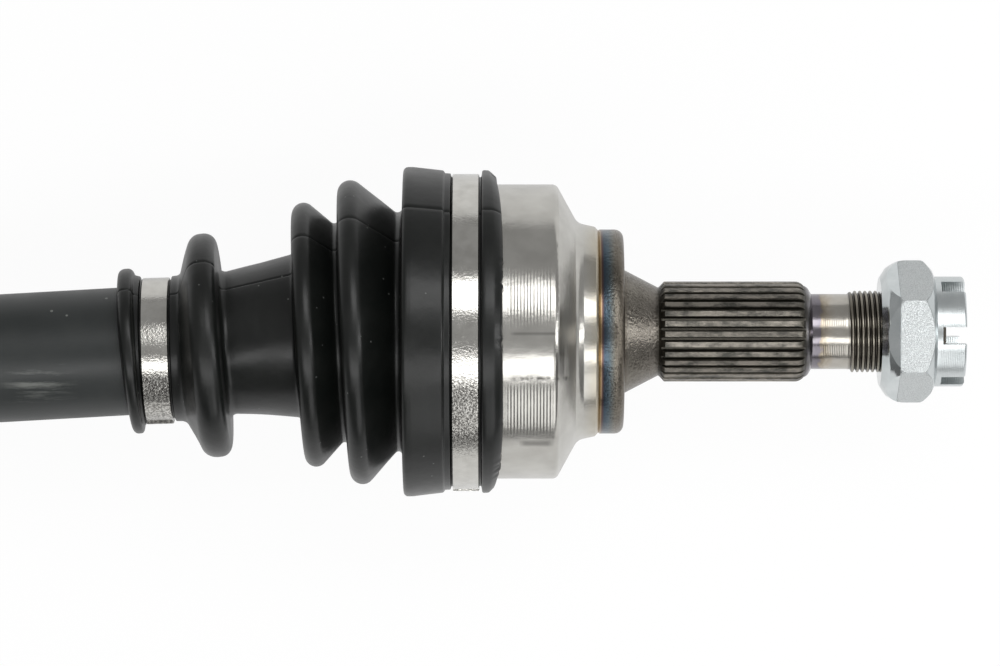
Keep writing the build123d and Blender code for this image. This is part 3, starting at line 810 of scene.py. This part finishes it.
def strip(points, width, thickness, edge=0.22):
    """Strip of sheet along a line of (outward vector, tangent) frames. Returns vertices and faces."""
    half = width / 2
    section = [
        (-half, -thickness / 2 + edge), (-half, thickness / 2 - edge), (-half + edge, thickness / 2),
        (half - edge, thickness / 2), (half, thickness / 2 - edge), (half, -thickness / 2 + edge),
        (half - edge, -thickness / 2), (-half + edge, -thickness / 2),
    ]
    vertices, faces = [], []
    for position, normal in points:
        for along, out in section:
            vertices.append(Vector((along, position.x + out * normal.x, position.y + out * normal.y)))
    size = len(section)
    for row in range(len(points) - 1):
        for number in range(size):
            following = (number + 1) % size
            a, b = row * size, (row + 1) * size
            faces.append((a + number, b + number, b + following, a + following))
    faces.append(tuple(reversed(range(size))))
    faces.append(tuple(range((len(points) - 1) * size, len(points) * size)))
    return vertices, faces


def with_normals(line):
    """Adds to each point of a plane line its normal on the left side of the run."""
    result = []
    for number, point in enumerate(line):
        before = line[max(number - 1, 0)]
        after = line[min(number + 1, len(line) - 1)]
        along = (after - before).normalized()
        result.append((point, Vector((-along.y, along.x))))
    return result


def clamp(name, node, matrix, middle, radius, width, ear_angle, tilt=0.0):
    """Band with one crimped ear and an overlap. The ear's angle is measured from straight up towards +Y."""
    centre = radius - BAND_THICKNESS / 2
    vertices, faces = [], []

    def add(points, band_width):
        more, more_faces = strip(points, band_width, BAND_THICKNESS)
        offset = len(vertices)
        vertices.extend(more)
        faces.extend(tuple(number + offset for number in face) for face in more_faces)

    def arc(first, last, level, count):
        steps = [first + (last - first) * number / count for number in range(count + 1)]
        return [Vector((level * math.sin(a), level * math.cos(a))) for a in steps]

    add(with_normals(arc(2 * math.pi, 0, centre, 180)), width)
    outer = centre + BAND_THICKNESS * 0.98
    half = 6.4 / outer
    add(with_normals(arc(half + 0.75, half, outer, 24)), width)
    add(with_normals(arc(-half, -half - 0.16, outer, 8)), width)
    ear = [Vector((-u, outer + h)) for u, h in reversed(EAR_LINE)]
    add(with_normals(list(reversed(ear))), width - 0.3)
    turn = Matrix.Rotation(-ear_angle, 3, "X")
    lean = Matrix.Rotation(tilt, 3, "Z")
    placed = [matrix @ ((Vector((middle, 0, 0)) + lean @ (turn @ v)) * MM) for v in vertices]
    band = mesh_object(name, placed, faces)
    bevel = band.modifiers.new("edges", "EDGE_SPLIT")
    bevel.split_angle = math.radians(40)
    band.data.materials.append(clamp_finish)
    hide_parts(node)
    return band


clamp_finish = clamp_steel()
LARGE_WIDTH, SMALL_WIDTH = 7.8, 7.9
OUTER_EAR, INNER_EAR = math.pi + EAR_TURN, math.pi - EAR_TURN
# Each clamp: end, size, body, frame, middle, radius, width, angle of the ear, tilt in degrees.
CLAMPS = [
    ("outer", "large", "outer_joint", OUTER_FRAME, -4.1, 46.15, LARGE_WIDTH, OUTER_EAR, 0.0),
    ("outer", "small", "shaft", SHAFT_FRAME, -94.35, 21.05, SMALL_WIDTH, OUTER_EAR, -1.5),
    ("inner", "large", "inner_joint", INNER_FRAME, 17.3, 46.25, LARGE_WIDTH, INNER_EAR, 0.0),
    ("inner", "small", "shaft", INNER_FRAME, 94.95, 21.05, SMALL_WIDTH, INNER_EAR, 0.6),
]
for end, size, body, matrix, middle, radius, width, ear_angle, tilt in CLAMPS:
    node = f"{end}_boot_clamp_{size}"
    band = clamp(f"clamp_{end}_{size}", node, matrix, middle, radius, width, ear_angle, math.radians(tilt))
    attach(band, body)

dress(["outer_housing"], hub_steel())
dress(["hub_nut"], zinc_plate())
dress(["shaft_tube", "outer_shaft_stub", "inner_shaft_stub"], black_paint())
bearing = plain_metal("bearing_steel", (0.40, 0.40, 0.39), (0.52, 0.52, 0.51), 0.2).material
dress([n for n in NODES if n.startswith(("ball_", "roller_", "needles_", "spider", "inner_race"))], bearing)
spring = plain_metal("spring_steel", (0.10, 0.10, 0.105), (0.18, 0.18, 0.185), 0.35).material
dress(["race_snap_ring", "race_stop_ring", "spider_circlips", "stub_circlip"], spring)
dress(["tulip"], tulip_steel())


# Thread

THREAD_START = 65.2 * MM
THREAD_END = 93.4 * MM
THREAD_PITCH = 1.5 * MM
THREAD_CREST = 11.95 * MM
THREAD_ROOT = 11.0 * MM
THREAD_STEPS = 60


def thread():
    """Helical ridge on the stub, which sinks into it at its start and fades out at both ends."""
    turns = (THREAD_END - THREAD_START) / THREAD_PITCH
    steps = round(turns * THREAD_STEPS)
    half = THREAD_PITCH / 2
    rising = [(-1.0, 0.0), (-0.6, 0.55), (-0.36, 0.92), (-0.12, 1.0)]
    flank = rising + [(-share, height) for share, height in reversed(rising)]
    section = [(-half, -0.3 * MM)] + [(share * half, height) for share, height in flank] + [(half, -0.3 * MM)]
    vertices, faces = [], []
    for step in range(steps + 1):
        angle = 2 * math.pi * step / THREAD_STEPS
        x = THREAD_START + (THREAD_END - THREAD_START) * step / steps
        fade = min(smoothstep(0, THREAD_STEPS * 1.2, step), smoothstep(0, THREAD_STEPS * 0.6, steps - step))
        for offset, height in section:
            rise = height if height < 0 else height * fade * (THREAD_CREST - THREAD_ROOT)
            radius = THREAD_ROOT - 0.15 * MM * (1 - fade) + rise
            vertices.append((x + offset * 0.98, -radius * math.sin(angle), radius * math.cos(angle)))
    size = len(section)
    for step in range(steps):
        for number in range(size):
            following = (number + 1) % size
            a, b = step * size, (step + 1) * size
            faces.append((a + number, b + number, b + following, a + following))
    faces.append(tuple(range(size)))
    faces.append(tuple(reversed(range(steps * size, (steps + 1) * size))))
    return mesh_object("hub_thread", vertices, faces)


hub_thread = thread()
hub_thread.data.materials.append(thread_steel())
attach(hub_thread, "outer_joint")

# Floor, light and camera

bpy.ops.mesh.primitive_plane_add(size=12, location=(0, 0, FLOOR_Z - 0.7 * MM))
floor = bpy.context.object
floor.name = "floor"
floor.data.materials.append(floor_material())

world = bpy.data.worlds.new("studio")
bpy.context.scene.world = world
world.use_nodes = True
tree = world.node_tree
background = tree.nodes["Background"]
coordinates = tree.nodes.new("ShaderNodeTexCoord")
split = tree.nodes.new("ShaderNodeSeparateXYZ")
height = tree.nodes.new("ShaderNodeValToRGB")
tree.links.new(coordinates.outputs["Generated"], split.inputs[0])
tree.links.new(split.outputs["Z"], height.inputs["Fac"])
side = tree.nodes.new("ShaderNodeMapRange")
tree.links.new(split.outputs["Y"], side.inputs["Value"])
product = tree.nodes.new("ShaderNodeVectorMath")
product.operation = "SCALE"
tree.links.new(height.outputs["Color"], product.inputs[0])
tree.links.new(side.outputs["Result"], product.inputs["Scale"])
tree.links.new(product.outputs[0], background.inputs["Color"])
for name, number in (("From Min", -0.7), ("From Max", -0.1), ("To Min", 0.4), ("To Max", 1.0)):
    side.inputs[name].default_value = number
SKY = [(0.0, 0.34), (0.06, 0.40), (0.2, 0.44), (0.45, 0.40), (0.7, 0.38), (1.0, 0.48)]
while len(height.color_ramp.elements) < len(SKY):
    height.color_ramp.elements.new(0.5)
for element, (position, level) in zip(height.color_ramp.elements, SKY):
    element.position = position
    element.color = (level, level, level, 1)


def softbox(name, location, target, size, power):
    """Large area lamp aimed at a point."""
    lamp = bpy.data.lights.new(name, "AREA")
    lamp.shape = "RECTANGLE"
    lamp.size, lamp.size_y = size
    lamp.energy = power
    obj = bpy.data.objects.new(name, lamp)
    bpy.context.scene.collection.objects.link(obj)
    obj.location = location
    obj.rotation_euler = (Vector(target) - Vector(location)).to_track_quat("-Z", "Y").to_euler()
    return obj


softbox("softbox_back", (0.36, 0.53, 1.07), (0.36, 0, 0), (0.98, 0.46), 5.2)
softbox("softbox_front", (-0.1, -0.56, 1.05), (-0.1, 0, 0), (1.9, 0.32), 7.0)
softbox("softbox_low", (0.40, -1.25, 0.66), (0.40, 0, 0), (0.92, 0.90), 4.2)
softbox("softbox_right", (1.12, -0.06, 0.78), (-0.03, 0, 0), (0.18, 0.95), 4.0)

PIXEL = 0.293 * MM
PHOTO_WIDTH, PHOTO_HEIGHT = 1000, 666
JOINT_COLUMN, AXIS_ROW = 480.0, 331.5
LENS = 200.0
SENSOR = 36.0

camera_data = bpy.data.cameras.new("camera")
camera_data.lens = LENS
camera_data.sensor_width = SENSOR
camera = bpy.data.objects.new("camera", camera_data)
bpy.context.scene.collection.objects.link(camera)
centre_x = OUTER_CENTRE.x + (PHOTO_WIDTH / 2 - JOINT_COLUMN) * PIXEL
centre_y = (AXIS_ROW - PHOTO_HEIGHT / 2) * PIXEL
distance = LENS / SENSOR * PHOTO_WIDTH * PIXEL
camera.location = (centre_x, centre_y, distance)
camera.rotation_euler = (0, 0, 0)
camera_data.clip_end = 50
bpy.context.scene.camera = camera
bpy.context.scene.view_settings.view_transform = "Standard"
